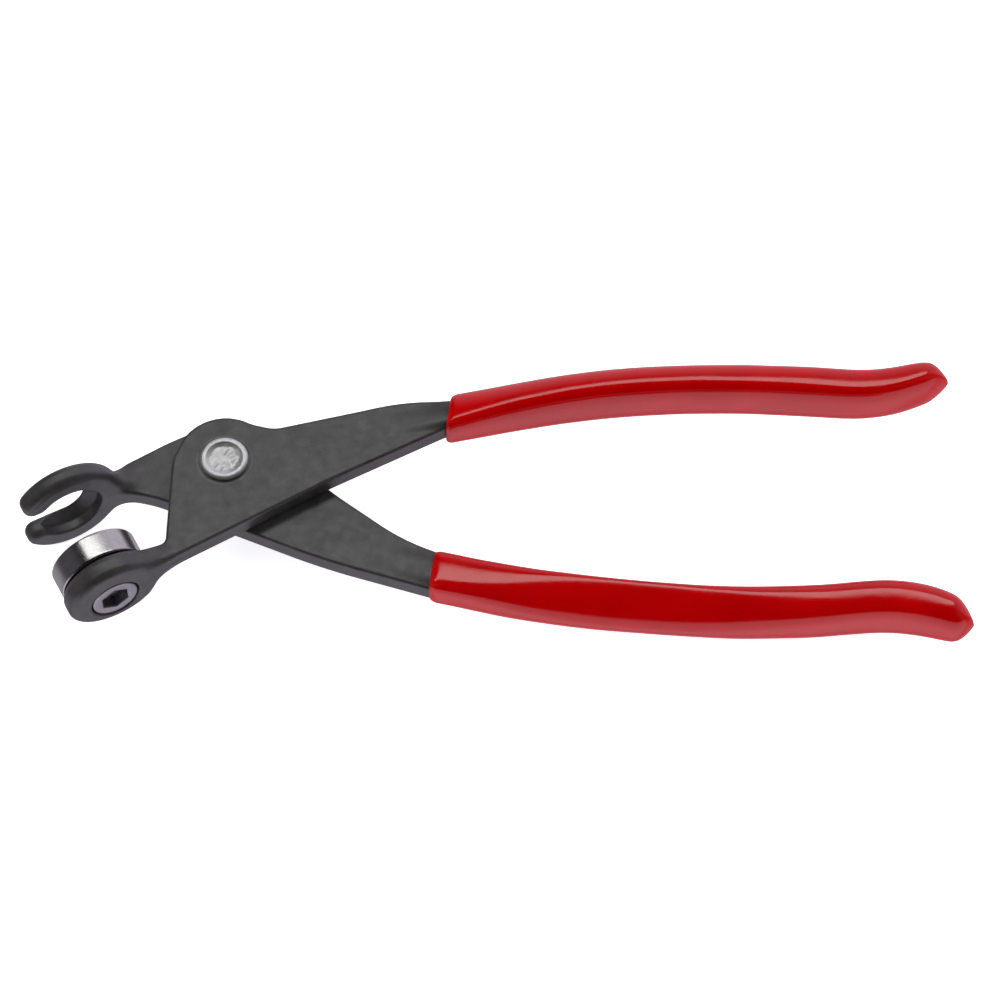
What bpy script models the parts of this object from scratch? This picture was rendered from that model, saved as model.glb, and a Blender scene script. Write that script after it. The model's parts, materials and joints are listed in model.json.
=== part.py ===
"""Fork-and-disc pliers: two crossing steel levers on one pivot bolt.

The front lever carries the upper handle and a lug with a screwed-on press disc. The rear lever
carries the lower handle and an open C-shaped fork that closes on the disc. Both handles have
dip-moulded sleeves. The tool lies on its side: +Z is the pivot axis, +X runs to the handles and
+Y to the upper handle. The origin is the centre of the pivot bolt's rear end face.
"""

import math

import bmesh
import bpy
from mathutils import Matrix, Vector

MM = 0.001  # every length below is in millimetres

# Levers
PLATE = 5.6  # thickness of both lever plates
LAP_GAP = 0.3  # clearance between the two plates
SEAT_GAP = 0.3  # clearance under heads, nut and disc
EDGE = 0.7  # rounding of the plates' edges
BOSS_R = 13.6  # round of the plates about the pivot

# Pivot
BOLT_R = 4.0
BORE_R = 4.3
HEAD_R = 6.7
HEAD_H = 2.0
HEAD_RECESS_R = 4.9
HEAD_RECESS = 1.1
LOBE_R = 3.6
LOBE_DEPTH = 1.6
NUT_FLATS = 13.0
NUT_H = 4.0
BOLT_END = 0.8  # how far the bolt stands out of the nut

# Height of the lap plane over the origin: the bolt's rear end, the nut and the rear plate
MID_Z = BOLT_END + NUT_H + SEAT_GAP + PLATE + LAP_GAP / 2

# Jaws. The disc's axis lies in the lap plane; it points at the fork.
JAW_DEG = 117.7  # direction of the disc's axis
DISC_FACE = (-36.1, -27.7)  # centre of the disc's working face
DISC_R = 12.5
DISC_T = 7.6
DISC_EDGE = 0.4
LUG_R = 13.3
LUG_LOW = 10.2  # half height of the lug below the screw
LUG_T = 7.4
LUG_EDGE = 1.4
SCREW_HEAD_R = 7.3
SCREW_HEAD_H = 4.4
COUNTERBORE_R = 8.0
SOCKET_FLATS = 6.4
SOCKET_DEPTH = 3.0
SCREW_BITE = 5.0  # thread length inside the disc

FORK_DEG = 27.5  # direction of the fork's plane, from its tips towards its neck
FORK_CENTRE = (-44.2, -10.9)
FORK_R = 15.8
FORK_T = 6.3
FORK_SLOT = 9.6
FORK_TIP = 3.1  # rounding of the tips
FORK_EDGE = 2.7
SEAT_R = 9.6  # round seat inside the fork, open towards the disc
SEAT_BACK_R = 5.4  # the seat narrows to this behind the fork's middle

# Handles. A section lies at a station s, on the plane x = s + LEAN * y, and has a centre y, a half
# width along y and a half depth along z.
LEAN = 0.08
SLEEVE = 1.4
SLEEVE_GAP = 0.3
ROUNDNESS = 3.0  # exponent of the sections' superellipse

UPPER_SLEEVE = [
    (61.8, 15.0, 6.6, 5.5),
    (75.0, 17.7, 6.0, 6.6),
    (97.0, 22.0, 5.7, 7.6),
    (120.0, 24.2, 5.5, 7.8),
    (142.0, 24.7, 5.5, 7.8),
    (165.0, 23.8, 5.6, 7.9),
    (178.0, 23.0, 5.5, 7.9),
    (187.4, 24.4, 5.4, 7.6),
    (192.8, 26.3, 5.0, 7.0),
    (196.4, 27.1, 3.9, 5.6),
    (200.6, 27.0, 0.9, 1.6),
]
LOWER_SLEEVE = [
    (61.8, -32.6, 6.9, 5.4),
    (78.8, -37.0, 6.7, 6.6),
    (101.0, -40.6, 6.2, 7.9),
    (125.0, -43.1, 6.0, 8.0),
    (148.0, -44.4, 6.0, 8.0),
    (170.0, -43.7, 6.1, 8.0),
    (187.0, -42.1, 6.1, 8.0),
    (198.0, -43.4, 6.0, 7.6),
    (205.5, -45.6, 5.5, 6.8),
    (210.0, -47.2, 4.0, 5.0),
    (213.0, -48.2, 0.9, 1.6),
]
UPPER_ROOT = [(46.0, 11.6, 3.6, 2.4), (54.0, 13.6, 4.2, 2.6)]
LOWER_ROOT = [(44.0, -26.4, 4.2, 2.4), (53.0, -29.9, 4.8, 2.6)]

CORE_SHORT = 1.0  # the steel ends this far before the sleeve starts to close
HANDLE_STEP = 6.0
TIP_RINGS = 8
SECTION_POINTS = 16
NECK_POINTS = 20
FORK_STEPS = 3  # flats on each rounded edge of the fork
LUG_SIDES = 40

STEEL = (0.085, 0.085, 0.088)
BRIGHT = (0.62, 0.60, 0.58)
ZINC = (0.66, 0.66, 0.65)
RED = (0.62, 0.008, 0.012)


def clear_scene():
    for old in list(bpy.data.objects):
        bpy.data.objects.remove(old, do_unlink=True)


def material(name, colour, roughness, metallic):
    made = bpy.data.materials.new(name)
    made.use_nodes = True
    shader = made.node_tree.nodes["Principled BSDF"]
    shader.inputs["Base Color"].default_value = (*colour, 1.0)
    shader.inputs["Roughness"].default_value = roughness
    shader.inputs["Metallic"].default_value = metallic
    return made


def link_new(name, mesh):
    made = bpy.data.objects.new(name, mesh)
    bpy.context.scene.collection.objects.link(made)
    return made


def finish_bmesh(name, bm):
    bmesh.ops.recalc_face_normals(bm, faces=bm.faces)
    mesh = bpy.data.meshes.new(name)
    bm.to_mesh(mesh)
    bm.free()
    return link_new(name, mesh)


def evaluated_copy(source, name):
    """A new mesh object with the source's modifiers applied; the source is removed."""
    bpy.context.view_layer.update()
    graph = bpy.context.evaluated_depsgraph_get()
    mesh = bpy.data.meshes.new_from_object(source.evaluated_get(graph))
    bm = bmesh.new()
    bm.from_mesh(mesh)
    bmesh.ops.remove_doubles(bm, verts=bm.verts, dist=0.002 * MM)
    bmesh.ops.recalc_face_normals(bm, faces=bm.faces)
    bm.to_mesh(mesh)
    bm.free()
    made = link_new(name, mesh)
    made.matrix_world = source.matrix_world.copy()
    bpy.data.objects.remove(source, do_unlink=True)
    return made


def combine(target, tool, operation):
    name = target.name
    change = target.modifiers.new(operation.title(), "BOOLEAN")
    change.operation = operation
    change.solver = "EXACT"
    change.object = tool
    made = evaluated_copy(target, name + "_made")
    bpy.data.objects.remove(tool, do_unlink=True)
    made.name = name
    return made


def bevelled(source, width, segments, angle=35.0):
    edge = source.modifiers.new("Edges", "BEVEL")
    edge.width = width * MM
    edge.segments = segments
    edge.limit_method = "ANGLE"
    edge.angle_limit = math.radians(angle)
    edge.use_clamp_overlap = True
    name = source.name
    made = evaluated_copy(source, name + "_made")
    made.name = name
    return made


# Plan outlines


def arc(centre, radius, start, end, steps):
    """Points on an arc, from one angle to another in degrees."""
    points = []
    for i in range(steps + 1):
        angle = math.radians(start + (end - start) * i / steps)
        points.append(
            (centre[0] + radius * math.cos(angle), centre[1] + radius * math.sin(angle))
        )
    return points


def rounded(corners, steps=6):
    """An open line through corners (x, y, radius), with each corner rounded by its radius."""
    points = [corners[0][:2]]
    for before, here, after in zip(corners, corners[1:], corners[2:]):
        corner, radius = Vector(here[:2]), here[2]
        to_before = (Vector(before[:2]) - corner).normalized()
        to_after = (Vector(after[:2]) - corner).normalized()
        half = to_before.angle(to_after) / 2
        reach = radius / math.tan(half)
        centre = corner + (to_before + to_after).normalized() * radius / math.sin(half)
        first = corner + to_before * reach - centre
        last = corner + to_after * reach - centre
        start = math.degrees(math.atan2(first.y, first.x))
        turn = (math.degrees(math.atan2(last.y, last.x)) - start + 180) % 360 - 180
        points += arc(centre, radius, start, start + turn, steps)
    points.append(corners[-1][:2])
    return points


def flat_piece(name, outline, thickness, edge, segments=2):
    """A flat outline extruded to a plate about its own plane, with rounded edges."""
    curve = bpy.data.curves.new(name, "CURVE")
    curve.dimensions = "2D"
    curve.fill_mode = "BOTH"
    curve.extrude = thickness * MM / 2
    spline = curve.splines.new("POLY")
    spline.points.add(len(outline) - 1)
    for point, (x, y) in zip(spline.points, outline):
        point.co = (x * MM, y * MM, 0.0, 1.0)
    spline.use_cyclic_u = True
    made = evaluated_copy(link_new(name + "_outline", curve), name)
    return bevelled(made, edge, segments)


def front_outline():
    upper = rounded([(65.5, 19.2, 0), (50.0, 18.5, 60), (13.0, 9.4, 9), (7.0, 11.3, 0)])
    boss = arc((0, -0.3), BOSS_R, 60, 150, 12)
    left = rounded([(-13.0, 4.6, 0), (-14.7, 0.6, 12), (-15.6, -26.2, 0.8), (-25.0, -31.2, 0)])
    lower = rounded([(-22.0, -35.2, 0), (-14.0, -31.2, 25), (30.0, -6.2, 90), (65.5, 12.2, 0)])
    return upper + boss + left + lower


def rear_outline():
    upper = rounded([(-31.0, -1.6, 0), (-28.0, 1.8, 8), (-16.0, 8.8, 60), (-8.0, 13.0, 0)])
    boss = arc((0, 0), BOSS_R + 0.6, 112, 28, 8)
    inner = rounded([(15.5, 6.0, 0), (32.0, -8.3, 60), (50.0, -22.0, 60), (59.3, -26.2, 0)])
    lower = rounded([(58.4, -38.0, 0), (28.0, -28.8, 200), (-20.0, -8.4, 40), (-31.0, -6.4, 0)])
    return upper + boss + inner + lower


# Lofts


def hermite(rows, s):
    """Smooth interpolation of rows (s, value, ...) at s, with Catmull-Rom slopes."""
    last = len(rows) - 1
    i = 0
    while i < last - 1 and s > rows[i + 1][0]:
        i += 1
    left, right = rows[i], rows[i + 1]
    span = right[0] - left[0]
    t = (s - left[0]) / span
    values = []
    for k in range(1, len(left)):

        def slope(j):
            a, b = rows[max(j - 1, 0)], rows[min(j + 1, last)]
            return (b[k] - a[k]) / (b[0] - a[0])

        p0, p1 = left[k], right[k]
        m0, m1 = slope(i) * span, slope(i + 1) * span
        values.append(
            (2 * t**3 - 3 * t**2 + 1) * p0
            + (t**3 - 2 * t**2 + t) * m0
            + (3 * t**2 - 2 * t**3) * p1
            + (t**3 - t**2) * m1
        )
    return values


def superellipse(half_width, half_depth, count=SECTION_POINTS, exponent=ROUNDNESS):
    points = []
    for i in range(count):
        angle = 2 * math.pi * (i + 0.5) / count
        c, s = math.cos(angle), math.sin(angle)
        points.append(
            (
                math.copysign(abs(c) ** (2 / exponent), c) * half_width,
                math.copysign(abs(s) ** (2 / exponent), s) * half_depth,
            )
        )
    return points


def bridge(bm, ring_a, ring_b):
    count = len(ring_a)
    for i in range(count):
        j = (i + 1) % count
        bm.faces.new((ring_a[i], ring_a[j], ring_b[j], ring_b[i]))


def loft(name, rings):
    """A closed solid through rings of points."""
    bm = bmesh.new()
    made = [[bm.verts.new(Vector(p) * MM) for p in ring] for ring in rings]
    for ring_a, ring_b in zip(made, made[1:]):
        bridge(bm, ring_a, ring_b)
    bm.faces.new(made[0])
    bm.faces.new(made[-1])
    return finish_bmesh(name, bm)


def handle_ring(s, rows, z, shrink=0.0):
    centre, half_width, half_depth = hermite(rows, s)
    ring = []
    for y, depth in superellipse(half_width - shrink, half_depth - shrink):
        ring.append((s + LEAN * (centre + y), centre + y, z + depth))
    return ring


def stations(start, end):
    count = max(2, round((end - start) / HANDLE_STEP))
    return [start + (end - start) * i / count for i in range(count + 1)]


def core_stations(rows):
    """Stations of the steel inside a sleeve; the sleeve's inner skin uses the same ones."""
    return stations(rows[0][0], rows[-3][0] - CORE_SHORT)


def handle_core(name, root, rows, z):
    """The steel inside a sleeve, from inside the lever's plate to near the sleeve's tip."""
    steel = SLEEVE + SLEEVE_GAP
    path = root + [(s, c, w - steel, d - steel) for s, c, w, d in rows[:-1]]
    places = stations(root[0][0], rows[0][0])[:-1] + core_stations(rows)
    return loft(name, [handle_ring(s, path, z) for s in places])


def sleeve(name, rows, z):
    """A dipped sleeve: one closed skin, open at its root around the steel."""
    end = rows[-1][0]
    tip = rows[-4][0]
    outer = [handle_ring(s, rows, z) for s in stations(rows[0][0], tip)]
    for k in range(1, TIP_RINGS + 1):
        outer.append(handle_ring(tip + (end - tip) * k / TIP_RINGS, rows, z))
    places = core_stations(rows)
    places.append(places[-1] + SLEEVE_GAP)
    inner = [handle_ring(s, rows, z, SLEEVE) for s in places]
    bm = bmesh.new()
    skins = []
    for rings in (outer, inner):
        made = [[bm.verts.new(Vector(p) * MM) for p in ring] for ring in rings]
        for ring_a, ring_b in zip(made, made[1:]):
            bridge(bm, ring_a, ring_b)
        bm.faces.new(made[-1])
        skins.append(made)
    bridge(bm, skins[0][0], skins[1][0])
    return finish_bmesh(name, bm)


def neck(name, sections):
    """A forged neck: sections (x, y, z, direction in degrees, half width, half depth)."""
    rings = []
    for x, y, z, direction, half_width, half_depth in sections:
        side = math.radians(direction + 90)
        ring = []
        for across, depth in superellipse(half_width, half_depth, NECK_POINTS):
            ring.append((x + across * math.cos(side), y + across * math.sin(side), z + depth))
        rings.append(ring)
    return loft(name, rings)


def smooth_sections(sections, steps):
    """Extra sections between the given ones, evenly along their list."""
    rows = [(float(i), *row) for i, row in enumerate(sections)]
    last = len(sections) - 1
    return [hermite(rows, i / steps) for i in range(last * steps + 1)]


# Turned and round pieces


def turned(name, profile, steps=48):
    """A solid of revolution about Z; the profile (radius, z) runs from top to bottom."""
    mesh = bpy.data.meshes.new(name)
    points = [(r * MM, 0.0, z * MM) for r, z in profile]
    mesh.from_pydata(points, [(i, i + 1) for i in range(len(points) - 1)], [])
    made = link_new(name + "_profile", mesh)
    spin = made.modifiers.new("Spin", "SCREW")
    spin.axis = "Z"
    spin.steps = steps
    spin.render_steps = steps
    spin.use_merge_vertices = True
    spin.merge_threshold = 0.01 * MM
    return evaluated_copy(made, name)


def cylinder(name, radius, low, high, sides=48):
    bm = bmesh.new()
    depth = high - low
    place = Matrix.Translation((0, 0, (low + high) / 2 * MM))
    bmesh.ops.create_cone(
        bm, cap_ends=True, segments=sides, radius1=radius * MM, radius2=radius * MM,
        depth=depth * MM, matrix=place,
    )
    return finish_bmesh(name, bm)


def hexagon(name, flats, low, high):
    return cylinder(name, flats / math.sqrt(3), low, high, 6)


def jaw_frame():
    """Local +Z is the disc's axis, out of its working face; the origin is that face's centre."""
    axis = Vector((math.cos(math.radians(JAW_DEG)), math.sin(math.radians(JAW_DEG)), 0))
    across = Vector((0, 0, 1))
    side = across.cross(axis)
    turn = Matrix((side, across, axis)).transposed().to_4x4()
    return Matrix.Translation((DISC_FACE[0] * MM, DISC_FACE[1] * MM, 0)) @ turn


def fork_frame():
    """Local +X runs from the fork's tips to its neck, local +Y is up, +Z is its axis."""
    run = Vector((math.cos(math.radians(FORK_DEG)), math.sin(math.radians(FORK_DEG)), 0))
    up = Vector((0, 0, 1))
    turn = Matrix((run, up, run.cross(up))).transposed().to_4x4()
    return Matrix.Translation((FORK_CENTRE[0] * MM, FORK_CENTRE[1] * MM, 0)) @ turn


def placed(made, frame):
    """Bakes a frame into the mesh, so that the object keeps its origin on the pivot axis."""
    made.data.transform(frame)
    return made


# Depths below the disc's working face
DISC_BACK = -DISC_T
LUG_INNER = DISC_BACK - SEAT_GAP
LUG_OUTER = LUG_INNER - LUG_T
SEAT = LUG_OUTER + SCREW_HEAD_H + SEAT_GAP


def lug_outline():
    """A circle that is a little flatter below the screw."""
    points = []
    for x, y in arc((0, 0), LUG_R, 0, 360 - 360 / LUG_SIDES, LUG_SIDES - 1):
        points.append((x, y if y > 0 else y * LUG_LOW / LUG_R))
    return points


def front_lever():
    z = LAP_GAP / 2 + PLATE / 2
    lever = flat_piece("front_lever", front_outline(), PLATE, EDGE)
    lever.data.transform(Matrix.Translation((0, 0, z * MM)))
    core = handle_core("front_core", UPPER_ROOT, UPPER_SLEEVE, z)
    lever = combine(lever, core, "UNION")
    arm = smooth_sections(
        [
            (-13.0, -28.6, z, JAW_DEG - 90, 3.2, 2.5),
            (-18.3, -31.4, 2.6, JAW_DEG - 90, 3.3, 4.2),
            (-22.3, -33.6, 1.9, JAW_DEG - 90, 3.5, 7.5),
            (-25.4, -35.2, 1.3, JAW_DEG - 90, 3.6, 10.3),
            (-29.0, -37.1, 1.0, JAW_DEG - 90, 3.6, 11.6),
        ],
        2,
    )
    lever = combine(lever, neck("front_neck", arm), "UNION")
    lug = flat_piece("lug", lug_outline(), LUG_T, LUG_EDGE)
    lug.data.transform(Matrix.Translation((0, 0, (LUG_OUTER + LUG_INNER) / 2 * MM)))
    lever = combine(lever, placed(lug, jaw_frame()), "UNION")
    for radius, low, high in (
        (COUNTERBORE_R, LUG_OUTER - 2, SEAT),
        (BORE_R, LUG_OUTER, LUG_INNER + 2),
    ):
        cutter = placed(cylinder("cutter", radius, low, high), jaw_frame())
        lever = combine(lever, cutter, "DIFFERENCE")
    return combine(lever, cylinder("bore", BORE_R, -1, PLATE + 2), "DIFFERENCE")


def fork_outline(inset):
    """The C outline, moved in by an inset: a circle with a slot between two rounded tips."""
    half = FORK_SLOT / 2
    tip_y = half + FORK_TIP
    tip_x = -math.sqrt((FORK_R - FORK_TIP) ** 2 - tip_y**2)
    tip_deg = math.degrees(math.atan2(tip_y, tip_x))
    outer = arc((0, 0), FORK_R - inset, -tip_deg, tip_deg, 30)
    upper_tip = arc((tip_x, tip_y), FORK_TIP - inset, tip_deg, 270, 6)
    inner = arc((0, 0), half + inset, 90, -90, 8)
    lower_tip = [(x, -y) for x, y in reversed(upper_tip)]
    return outer + upper_tip[1:] + inner + lower_tip[:-1]


def fork_blank():
    """The fork before its seat is cut: the C outline with rounded edges."""
    rings = []
    for side in (-1, 1):
        for step in range(FORK_STEPS + 1):
            turn = math.pi / 2 * step / FORK_STEPS
            if side > 0:
                turn = math.pi / 2 - turn
            inset = FORK_EDGE * (1 - math.sin(turn))
            height = side * (FORK_T / 2 - FORK_EDGE * (1 - math.cos(turn)))
            rings.append([(x, y, height) for x, y in fork_outline(inset)])
    return loft("fork", rings)


def fork_seat():
    """The space of the round seat: straight in front of the fork's middle, narrowing behind it."""
    front = FORK_T / 2 + 1
    slope = (SEAT_R - SEAT_BACK_R) / (FORK_T / 2)
    back = -FORK_T / 2 - 0.5
    profile = [(0, front), (SEAT_R, front), (SEAT_R, 0), (SEAT_R + slope * back, back), (0, back)]
    return turned("fork_seat", profile)


def rear_lever():
    z = -(LAP_GAP / 2 + PLATE / 2)
    lever = flat_piece("rear_lever", rear_outline(), PLATE, EDGE)
    lever.data.transform(Matrix.Translation((0, 0, z * MM)))
    core = handle_core("rear_core", LOWER_ROOT, LOWER_SLEEVE, z)
    lever = combine(lever, core, "UNION")
    arm = smooth_sections(
        [
            (-20.5, -1.3, z, 6.0, 6.4, 2.4),
            (-26.5, -2.7, z + 0.5, 15.0, 4.4, 3.6),
            (-30.5, -4.1, z + 1.8, 24.0, 3.3, 5.8),
            (-33.6, -5.4, -0.2, FORK_DEG, 2.7, 8.2),
        ],
        3,
    )
    lever = combine(lever, neck("rear_neck", arm), "UNION")
    lever = combine(lever, placed(fork_blank(), fork_frame()), "UNION")
    lever = combine(lever, placed(fork_seat(), fork_frame()), "DIFFERENCE")
    return combine(lever, cylinder("bore", BORE_R, -PLATE - 2, 1), "DIFFERENCE")


def pivot_bolt():
    under = LAP_GAP / 2 + PLATE + SEAT_GAP
    top = under + HEAD_H
    floor = top - HEAD_RECESS
    profile = [
        (0, floor),
        (HEAD_RECESS_R - 0.2, floor),
        (HEAD_RECESS_R, floor + 0.2),
        (HEAD_RECESS_R, top - 0.5),
        (HEAD_RECESS_R + 0.4, top - 0.1),
        ((HEAD_RECESS_R + HEAD_R) / 2, top),
        (HEAD_R - 0.5, top - 0.2),
        (HEAD_R, top - 0.8),
        (HEAD_R, under),
        (BOLT_R, under),
        (BOLT_R, -MID_Z + 0.5),
        (BOLT_R - 0.5, -MID_Z),
        (0, -MID_Z),
    ]
    bolt = turned("pivot_bolt", profile)
    socket = cylinder("socket", LOBE_R, floor - LOBE_DEPTH, floor + 1, 6)
    return combine(bolt, socket, "DIFFERENCE")


def pivot_nut():
    low = -MID_Z + BOLT_END
    nut = bevelled(hexagon("pivot_nut", NUT_FLATS, low, low + NUT_H), 0.5, 2)
    return combine(nut, cylinder("thread", BORE_R, low - 1, low + NUT_H + 1), "DIFFERENCE")


def press_disc():
    disc = bevelled(cylinder("press_disc", DISC_R, DISC_BACK, 0, 48), DISC_EDGE, 1)
    hole = cylinder("thread", BORE_R, DISC_BACK - 1, DISC_BACK + SCREW_BITE + SEAT_GAP)
    return placed(combine(disc, hole, "DIFFERENCE"), jaw_frame())


def disc_screw():
    head = LUG_OUTER
    seat = SEAT - SEAT_GAP
    tip = DISC_BACK + SCREW_BITE
    profile = [
        (0, tip),
        (BOLT_R - 0.5, tip),
        (BOLT_R, tip - 0.5),
        (BOLT_R, seat),
        (SCREW_HEAD_R, seat),
        (SCREW_HEAD_R, head + 0.6),
        (SCREW_HEAD_R - 0.6, head),
        (0, head),
    ]
    screw = turned("disc_screw", profile)
    socket = hexagon("socket", SOCKET_FLATS, head - 1, head + SOCKET_DEPTH)
    return placed(combine(screw, socket, "DIFFERENCE"), jaw_frame())


def dress(piece, parent, group, colour, roughness, metallic):
    """Gives a finished piece its material, shading, parent and collection."""
    piece.data.materials.clear()
    piece.data.materials.append(material(piece.name + "_finish", colour, roughness, metallic))
    piece.data.shade_smooth()
    piece.data.set_sharp_from_angle(angle=math.radians(35))
    for old in list(piece.users_collection):
        old.objects.unlink(piece)
    group.objects.link(piece)
    piece.parent = parent


def empty(name, group, parent=None, height=0.0):
    made = bpy.data.objects.new(name, None)
    made.empty_display_size = 10 * MM
    made.location = (0, 0, height * MM)
    made.parent = parent
    group.objects.link(made)
    return made


def main():
    clear_scene()
    group = bpy.data.collections.new("fork_and_disc_pliers")
    bpy.context.scene.collection.children.link(group)
    lap = empty("lap_plane_on_pivot_axis", group, height=MID_Z)
    swing = empty("rear_lever_pivot", group, parent=lap)

    front_z = LAP_GAP / 2 + PLATE / 2
    dress(front_lever(), lap, group, STEEL, 0.5, 0.6)
    dress(sleeve("upper_grip", UPPER_SLEEVE, front_z), lap, group, RED, 0.25, 0.0)
    dress(press_disc(), lap, group, BRIGHT, 0.25, 1.0)
    dress(disc_screw(), lap, group, BRIGHT, 0.35, 1.0)
    dress(pivot_bolt(), lap, group, ZINC, 0.3, 1.0)
    dress(pivot_nut(), lap, group, ZINC, 0.3, 1.0)
    dress(rear_lever(), swing, group, STEEL, 0.5, 0.6)
    dress(sleeve("lower_grip", LOWER_SLEEVE, -front_z), swing, group, RED, 0.25, 0.0)


main()
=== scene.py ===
"""The finished look of the fork-and-disc pliers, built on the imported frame.

Both levers are made as smooth forgings: a field gives the distance to the finished surface, and a
remeshed copy of the CAD lever settles onto it. The sleeves are lofts through sections measured on
their CAD nodes. The bolt, nut, disc and screw are rings of points about their own axes.
The pieces' lengths are in millimetres, counted from the pivot's axis and the lap plane, where the
levers meet. The lights and the camera are in metres.
"""

import json
import math

import bmesh
import bpy
import numpy as np
from mathutils import Matrix, Vector, noise

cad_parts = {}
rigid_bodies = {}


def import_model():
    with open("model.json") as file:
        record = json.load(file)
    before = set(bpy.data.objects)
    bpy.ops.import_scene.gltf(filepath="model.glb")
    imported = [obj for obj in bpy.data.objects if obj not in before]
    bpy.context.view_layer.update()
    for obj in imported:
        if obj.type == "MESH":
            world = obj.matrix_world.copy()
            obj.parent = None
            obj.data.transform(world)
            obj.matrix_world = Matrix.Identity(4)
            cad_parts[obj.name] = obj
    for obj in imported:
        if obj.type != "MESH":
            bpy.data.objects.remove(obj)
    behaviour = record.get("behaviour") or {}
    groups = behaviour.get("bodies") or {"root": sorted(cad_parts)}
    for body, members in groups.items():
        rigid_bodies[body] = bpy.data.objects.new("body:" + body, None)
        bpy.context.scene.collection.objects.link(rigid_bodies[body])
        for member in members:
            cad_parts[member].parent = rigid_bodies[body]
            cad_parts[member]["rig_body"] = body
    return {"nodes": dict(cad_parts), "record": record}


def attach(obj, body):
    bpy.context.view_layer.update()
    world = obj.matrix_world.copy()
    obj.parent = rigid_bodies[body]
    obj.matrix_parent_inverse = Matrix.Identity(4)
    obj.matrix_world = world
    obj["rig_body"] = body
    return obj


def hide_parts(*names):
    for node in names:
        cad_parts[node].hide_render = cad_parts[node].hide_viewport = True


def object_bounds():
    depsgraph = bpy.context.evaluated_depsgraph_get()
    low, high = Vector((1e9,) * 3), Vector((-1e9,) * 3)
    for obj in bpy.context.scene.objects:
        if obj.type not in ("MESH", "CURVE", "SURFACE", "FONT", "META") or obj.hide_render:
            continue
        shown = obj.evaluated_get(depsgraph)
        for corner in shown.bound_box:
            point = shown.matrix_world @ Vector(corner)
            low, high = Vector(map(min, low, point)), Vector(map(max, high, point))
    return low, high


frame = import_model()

CAD_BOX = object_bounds()
MM = 0.001
RECORD = frame["record"]
NODES = frame["nodes"]
LAP = np.array(RECORD["behaviour"]["joints"][0]["pos_m"]) / MM
FACE_MOUNT = next(m for m in RECORD["mounts"] if m["name"] == "press_disc_face")

# Levers
PLATE = 5.6  # thickness of each lever's plate
LAP_GAP = 0.3  # between the two plates
SEAT_GAP = 0.3  # between pieces that are screwed together
MID = (LAP_GAP + PLATE) / 2  # height of a plate's middle
EDGE = 0.75  # rounding of the plates' edges
BOSS_R = 13.6
BORE_R = 4.3
BORE_EDGE = 0.4
CORE_BLEND = 1.0  # where a plate turns into the steel core of a handle
PLATE_IN_SLEEVE = 2.5
VOXEL = 0.38

# Settling a remeshed lever on its field
SETTLE_ROUNDS = 9
SMOOTH_ROUNDS = 7
NUDGE = 0.02  # step of a field's slope
LONGEST_STEP = 0.8
LEAST_SLOPE = 0.2
EVENING = 0.6  # how far a point moves to the middle of its neighbours

# Pivot
BOLT_R = 4.0
HEAD_R = 6.7
HEAD_H = 1.5
HEAD_LIFT = 0.06  # the head's underside over the plate
RECESS_R = 4.9
RECESS_DEPTH = 0.9
RECESS_WEAR = 0.28  # unevenness of the recess's floor
LOBES_R = 4.0
THREAD_PITCH = 1.25
THREAD_DEPTH = 0.55
NUT_FLATS = 13.0
NUT_H = 4.0
BOLT_END = 0.8
BOLT_LOW = -LAP[2]

# Disc, its lug and its screw
DISC_R = 12.5
DISC_T = 7.6
DISC_EDGE = 0.45
DISC_CENTRE = np.array(FACE_MOUNT["pos_m"]) / MM - LAP
DISC_AXIS = np.array(FACE_MOUNT["axis"])
LUG_R = 13.3
LUG_LOW = 10.2  # the lug's lower half is flatter
LUG_T = 7.4
LUG_EDGE = 2.5
LUG_TAPER = 0.16  # how fast the lug's neck gets thinner
LUG_INNER = -DISC_T - SEAT_GAP
LUG_OUTER = LUG_INNER - LUG_T
LUG_WEB = 9.0  # widths of the blends from the lug to its neck and from the neck to the plate
LUG_BLEND = 3.0
COUNTERBORE_R = 7.2
COUNTERBORE_EDGE = 0.5
SCREW_HOLE_EDGE = 0.3
SCREW_HEAD_R = 6.8
SCREW_HEAD_H = 4.4
SCREW_SINK = 0.15  # the head below the lug's outer face
SCREW_SEAT = LUG_OUTER + SCREW_HEAD_H
SCREW_BITE = 5.0
SOCKET_FLATS = 7.4
SOCKET_DEPTH = 3.0

# Fork
FORK_CENTRE = np.array((-44.2, -10.9, 0.0))
FORK_DEG = 27.5
FORK_R = 15.8
FORK_T = 6.3
FORK_SLOT = 9.6
FORK_TIP = 3.1
FORK_EDGE = 2.4
FORK_WEB = 7.0
FORK_BLEND = 4.0
SEAT_R = 9.6
SEAT_BACK_R = 5.4
SEAT_EDGE = 0.7

# The strips that join the jaws to their plates, along a jaw's run away from its middle
LUG_NECK = {"span": (1.0, 23.0), "fade_from": 10.0, "inset": 0.3, "sink": 0.2}
FORK_NECK = {"span": (13.5, 24.5), "fade_from": 14.0, "inset": 0.2, "sink": 0.28}

# Handles: a section lies on the plane x = s + LEAN * y
LEAN = 0.08
END_MARGIN = 0.05
SLEEVE = 1.4
CORE_GAP = 0.3
STEEL_SKIN = SLEEVE + CORE_GAP + 0.08  # the sleeve's skin where it grips the steel
GRIP_LENGTH = 6.0  # how far in from the mouth it grips
LIP_OUT = 1.9  # rounding of the mouth's outer edge, along the sleeve and across
LIP_DROP = 1.2
LIP_IN = 0.4
WAVE = 0.07  # unevenness of the dipped skin
WAVE_SPAN = 11.0
TIP_SPAN = 16.0
TIP_FROM = 0.86  # where the tip starts, along t
TIP_BLUNT = 0.62
TIP_DEPTH = 0.35
TIP_ROUND = 6.2  # length of the rounding at the very end
TIP_REACH = {"upper_grip": 1.6, "lower_grip": -1.0}  # how far a tip goes past the CAD's
DEEPEST = 0.85  # largest part of the outline that a section's depth takes up
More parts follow.
